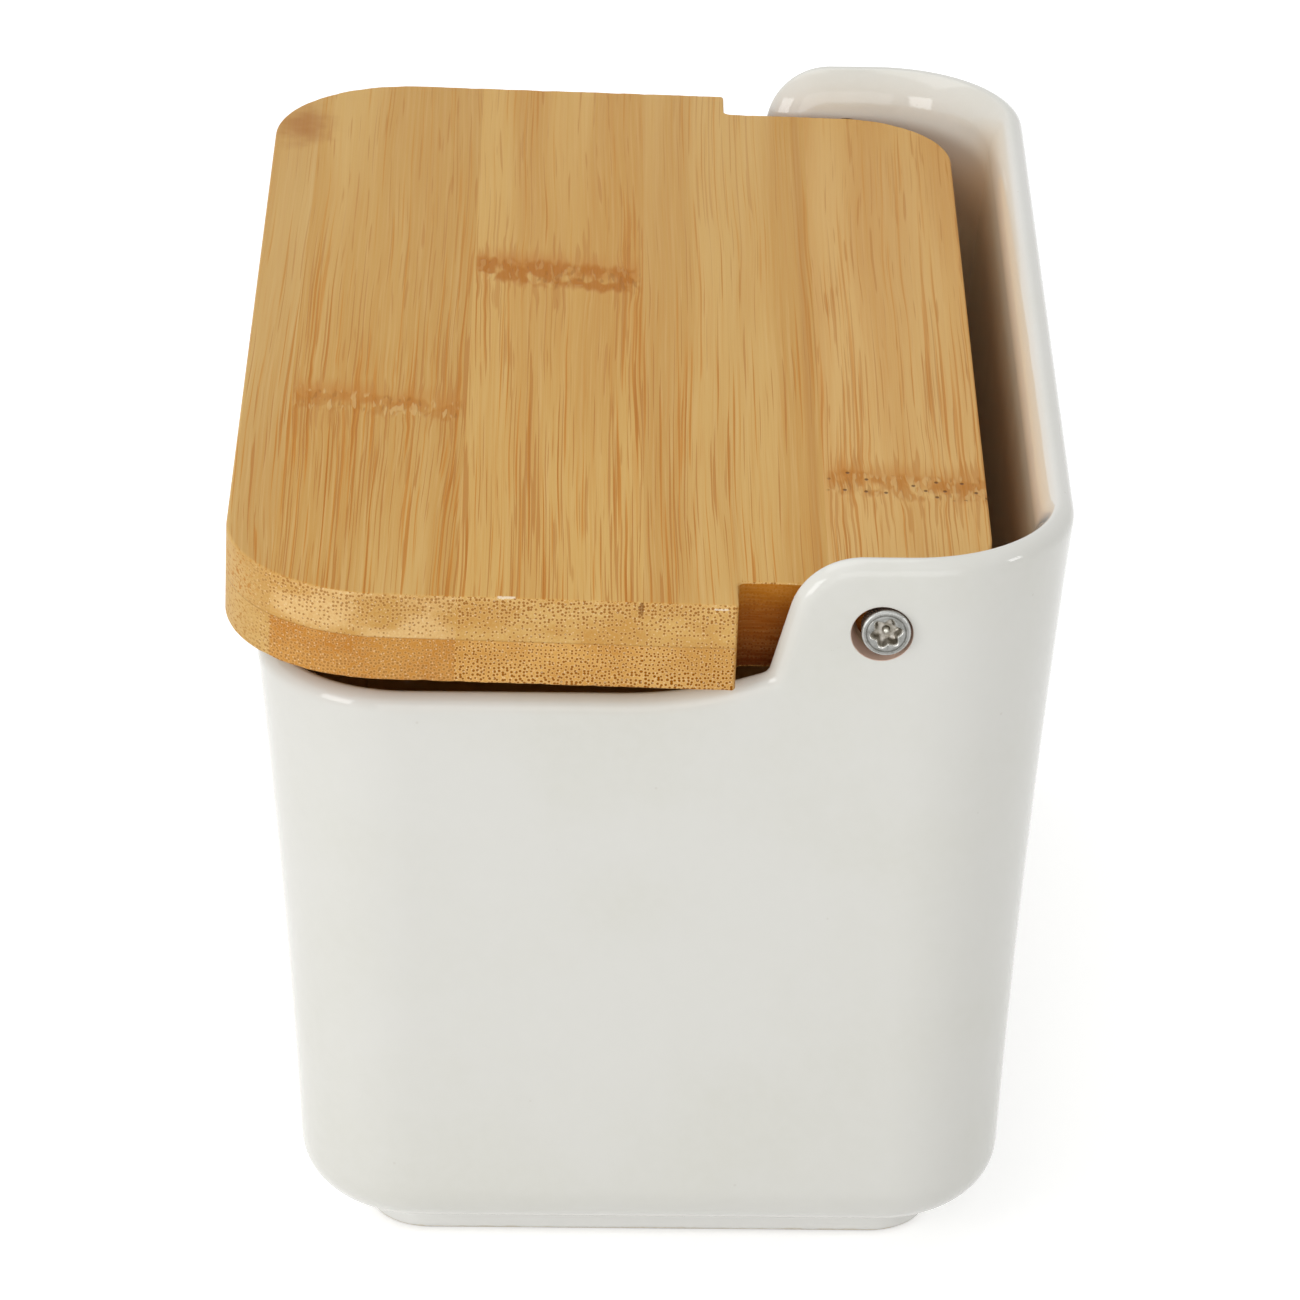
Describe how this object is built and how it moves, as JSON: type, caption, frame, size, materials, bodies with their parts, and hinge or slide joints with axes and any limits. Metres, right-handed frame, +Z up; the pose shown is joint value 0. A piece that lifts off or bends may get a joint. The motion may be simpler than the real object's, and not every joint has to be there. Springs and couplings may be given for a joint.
{
  "type": "salt box with hinged lid",
  "caption": "Glazed ceramic salt box with a tall back wall and two rounded ears, and a laminated bamboo lid that swings up between them on two screws.",
  "frame": {"origin": "middle of the assembly's outline in X and Y, on the table under the foot ring", "axes": "+Z up, -Y to the front where the lid opens, X along the hinge"},
  "size_m": [0.1648, 0.103, 0.1012],
  "materials": {
    "glaze": "smooth clear gloss glaze over warm white stoneware",
    "bamboo_light": "light laminated bamboo, sanded, thin matt oil",
    "bamboo_mid": "laminated bamboo, sanded, thin matt oil",
    "bamboo_dark": "darker laminated bamboo, sanded, thin matt oil",
    "zinc": "bright zinc-plated steel"
  },
  "bodies": {
    "box": {"box": "glaze"},
    "lid": {"top_strip_1": "bamboo_mid", "top_strip_2": "bamboo_light", "top_strip_3": "bamboo_mid", "top_strip_4": "bamboo_light", "top_strip_5": "bamboo_mid", "bottom_strip_1": "bamboo_dark", "bottom_strip_2": "bamboo_dark", "bottom_strip_3": "bamboo_mid", "bottom_strip_4": "bamboo_dark", "bottom_strip_5": "bamboo_mid", "screw_right": "zinc", "screw_left": "zinc"}
  },
  "joints": [
    {"name": "lid_hinge", "type": "hinge", "parent": "box", "child": "lid", "pos_m": [0, 0.02828, 0.09213], "axis": [-1, 0, 0], "range_deg": [0, 130]}
  ]
}
